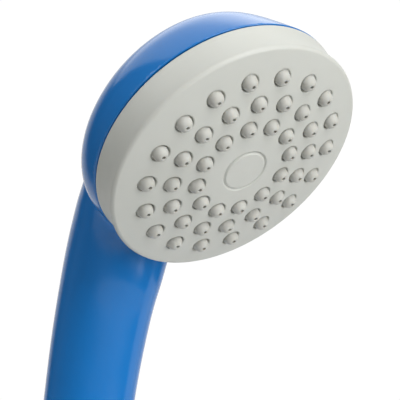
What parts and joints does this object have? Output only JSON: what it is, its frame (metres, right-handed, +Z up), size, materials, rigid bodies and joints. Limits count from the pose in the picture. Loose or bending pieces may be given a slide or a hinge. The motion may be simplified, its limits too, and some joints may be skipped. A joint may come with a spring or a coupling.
{
  "type": "handheld bath sprayer",
  "caption": "Handheld bath sprayer for washing pets: round domed spray head on a gently curved handle, with a threaded hose inlet at the lower end.",
  "frame": {"origin": "centre of the hose inlet's end face, on the axis of its thread", "axes": "+Z up the handle along the inlet's axis, -Y the side that the water leaves on, X = 0 the plane of symmetry"},
  "size_m": [0.0814, 0.1012, 0.2123],
  "materials": {
    "blue_shell": "glossy blue ABS moulding",
    "grey_cap": "satin light warm grey ABS moulding",
    "soft_nozzle": "matt beige grey silicone",
    "inner_plastic": "natural white acetal",
    "seal_rubber": "black nitrile rubber",
    "inlet_chrome": "chrome-plated brass",
    "steel": "stainless steel",
    "clear_tube": "milky polyethylene tube"
  },
  "bodies": {
    "sprayer": {"body_shell": "blue_shell", "spray_cap": "grey_cap", "centre_medallion": "grey_cap", "nozzle_mat": "soft_nozzle", "distributor_plate": "inner_plastic", "chamber_seal": "seal_rubber", "water_chamber": "inner_plastic", "post_seal": "seal_rubber", "centre_screw": "steel", "screw_washer": "steel", "waterway_tube": "clear_tube", "tube_seal_upper": "seal_rubber", "tube_seal_lower": "seal_rubber", "inlet_connector": "inlet_chrome", "inlet_seal": "seal_rubber", "filter_screen": "steel", "flow_restrictor": "inner_plastic", "restrictor_ring": "seal_rubber", "check_valve_body": "inner_plastic", "check_valve_ring": "seal_rubber", "check_valve_spring": "steel"},
    "valve_poppet": {"check_valve_poppet": "inner_plastic", "poppet_seal": "seal_rubber"}
  },
  "joints": [
    {"name": "check_valve_lift", "type": "slide", "parent": "sprayer", "child": "valve_poppet", "axis": [0, 0, 1], "range_m": [0, 0.003], "stiffness_N_per_m": 120, "springref_m": -0.002, "deforming": ["check_valve_spring"]}
  ]
}
